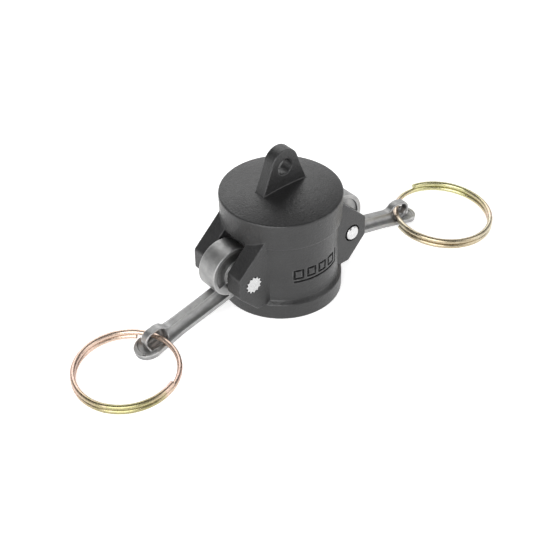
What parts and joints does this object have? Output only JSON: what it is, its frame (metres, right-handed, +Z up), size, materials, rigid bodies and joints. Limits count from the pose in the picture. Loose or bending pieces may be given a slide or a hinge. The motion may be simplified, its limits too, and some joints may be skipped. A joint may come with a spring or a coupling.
{
  "type": "camlock dust cap",
  "caption": "Round moulded cap that slides over a male camlock adapter, with cam arms that swing up to lock it, pull rings and a tie lug on its closed end.",
  "frame": {"origin": "centre of the open mouth, in the plane of its rim", "axes": "+Z up the cap's axis to the closed end and tie lug; the arms lie along X, one each way; the pins lie along Y"},
  "size_m": [0.1494, 0.0437, 0.0478],
  "materials": {
    "cap_plastic": "matte moulded",
    "gasket_rubber": "matte",
    "arm_steel": "tumbled casting, satin",
    "pin_steel": "bright",
    "ring_zinc": "yellow zinc plating"
  },
  "bodies": {
    "cap": {"cap_body": "cap_plastic", "gasket": "gasket_rubber", "pivot_pin_left": "pin_steel", "pivot_pin_right": "pin_steel"},
    "arm_left": {"cam_arm_left": "arm_steel"},
    "arm_right": {"cam_arm_right": "arm_steel"},
    "ring_left": {"pull_ring_left": "ring_zinc"},
    "ring_right": {"pull_ring_right": "ring_zinc"}
  },
  "joints": [
    {"name": "arm_left_hinge", "type": "hinge", "parent": "cap", "child": "arm_left", "pos_m": [-0.0189, 0, 0.0146], "axis": [0, 1, 0], "range_deg": [-40, 102.9]},
    {"name": "arm_right_hinge", "type": "hinge", "parent": "cap", "child": "arm_right", "pos_m": [0.0189, 0, 0.0146], "axis": [0, -1, 0], "range_deg": [-40, 102.9]},
    {"name": "ring_left_swing", "type": "hinge", "parent": "arm_left", "child": "ring_left", "pos_m": [-0.04697, 0, 0.00458], "axis": [0.3256, -0.9455, 0], "range_deg": [-20, 150]},
    {"name": "ring_right_swing", "type": "hinge", "parent": "arm_right", "child": "ring_right", "pos_m": [0.04697, -0.0006, 0.00458], "axis": [0.5895, 0.8051, 0.0659], "range_deg": [-20, 150]}
  ]
}
